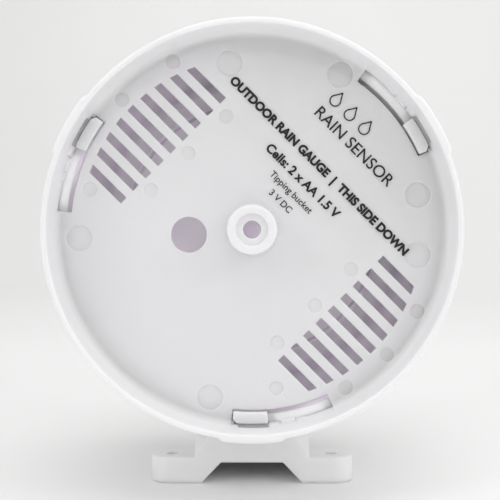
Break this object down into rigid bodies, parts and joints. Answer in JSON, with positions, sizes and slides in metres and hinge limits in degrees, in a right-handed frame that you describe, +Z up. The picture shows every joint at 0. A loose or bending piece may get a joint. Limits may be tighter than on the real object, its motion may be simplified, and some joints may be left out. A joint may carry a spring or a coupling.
{
  "type": "rain sensor",
  "caption": "Wireless rain sensor: slotted drain cup on a side bracket, twist-off collector funnel, self-emptying tipping bucket and battery radio inside.",
  "frame": {"origin": "middle of the box around the sensor, at the underside of the bracket's feet", "axes": "+Z up as the sensor lies on its bracket, +Y along the sensor's own axis from the drain end to the collector (up in use), +X to the right seen from the drain end"},
  "size_m": [0.134, 0.116, 0.1565],
  "materials": {
    "white_shell": "white weatherproof plastic, satin, slightly translucent",
    "inner_shell": "white plastic, satin",
    "screen_plastic": "white plastic, satin",
    "print_ink": "black pad-printed ink",
    "screw_steel": "stainless steel",
    "magnet_nickel": "nickel plate",
    "board_laminate": "green solder mask",
    "reed_glass": "clear glass tube",
    "radio_can": "tinned shield",
    "antenna_copper": "bare copper wire",
    "cell_jacket": "printed cell jacket",
    "contact_nickel": "nickel-plated spring steel",
    "seal_rubber": "black rubber"
  },
  "bodies": {
    "base": {"base_cup": "white_shell", "mount_bracket": "white_shell", "bracket_screw_1": "screw_steel", "bracket_screw_2": "screw_steel", "tipper_frame": "inner_shell", "frame_screw_1": "screw_steel", "frame_screw_2": "screw_steel", "frame_screw_3": "screw_steel", "frame_screw_4": "screw_steel", "transmitter_housing": "inner_shell", "housing_screw_1": "screw_steel", "housing_screw_2": "screw_steel", "circuit_board": "board_laminate", "reed_switch": "reed_glass", "radio_module": "radio_can", "antenna": "antenna_copper", "housing_lid": "inner_shell", "lid_screw_1": "screw_steel", "lid_screw_2": "screw_steel", "battery_a": "cell_jacket", "battery_b": "cell_jacket", "bridge_contact": "contact_nickel", "plus_contact": "contact_nickel", "minus_contact": "contact_nickel", "cover_seal": "seal_rubber"},
    "collector": {"collector": "white_shell"},
    "leaf_screen": {"debris_screen": "screen_plastic"},
    "tipper": {"tipper_bucket": "inner_shell", "tipper_pin": "screw_steel", "tipper_magnet": "magnet_nickel"},
    "cover": {"battery_cover": "inner_shell"}
  },
  "joints": [
    {"name": "collector_twist", "type": "hinge", "parent": "base", "child": "collector", "pos_m": [0, 0, 0.0895], "axis": [0, -1, 0], "range_deg": [0, 19]},
    {"name": "screen_lift", "type": "slide", "parent": "collector", "child": "leaf_screen", "axis": [0, 1, 0], "range_m": [0, 0.06]},
    {"name": "tipper_tip", "type": "hinge", "parent": "base", "child": "tipper", "pos_m": [0, -0.016, 0.0895], "axis": [0.7071, 0, 0.7071], "range_deg": [0, 36]},
    {"name": "cover_lift", "type": "slide", "parent": "base", "child": "cover", "axis": [0, 1, 0], "range_m": [0, 0.018]}
  ]
}
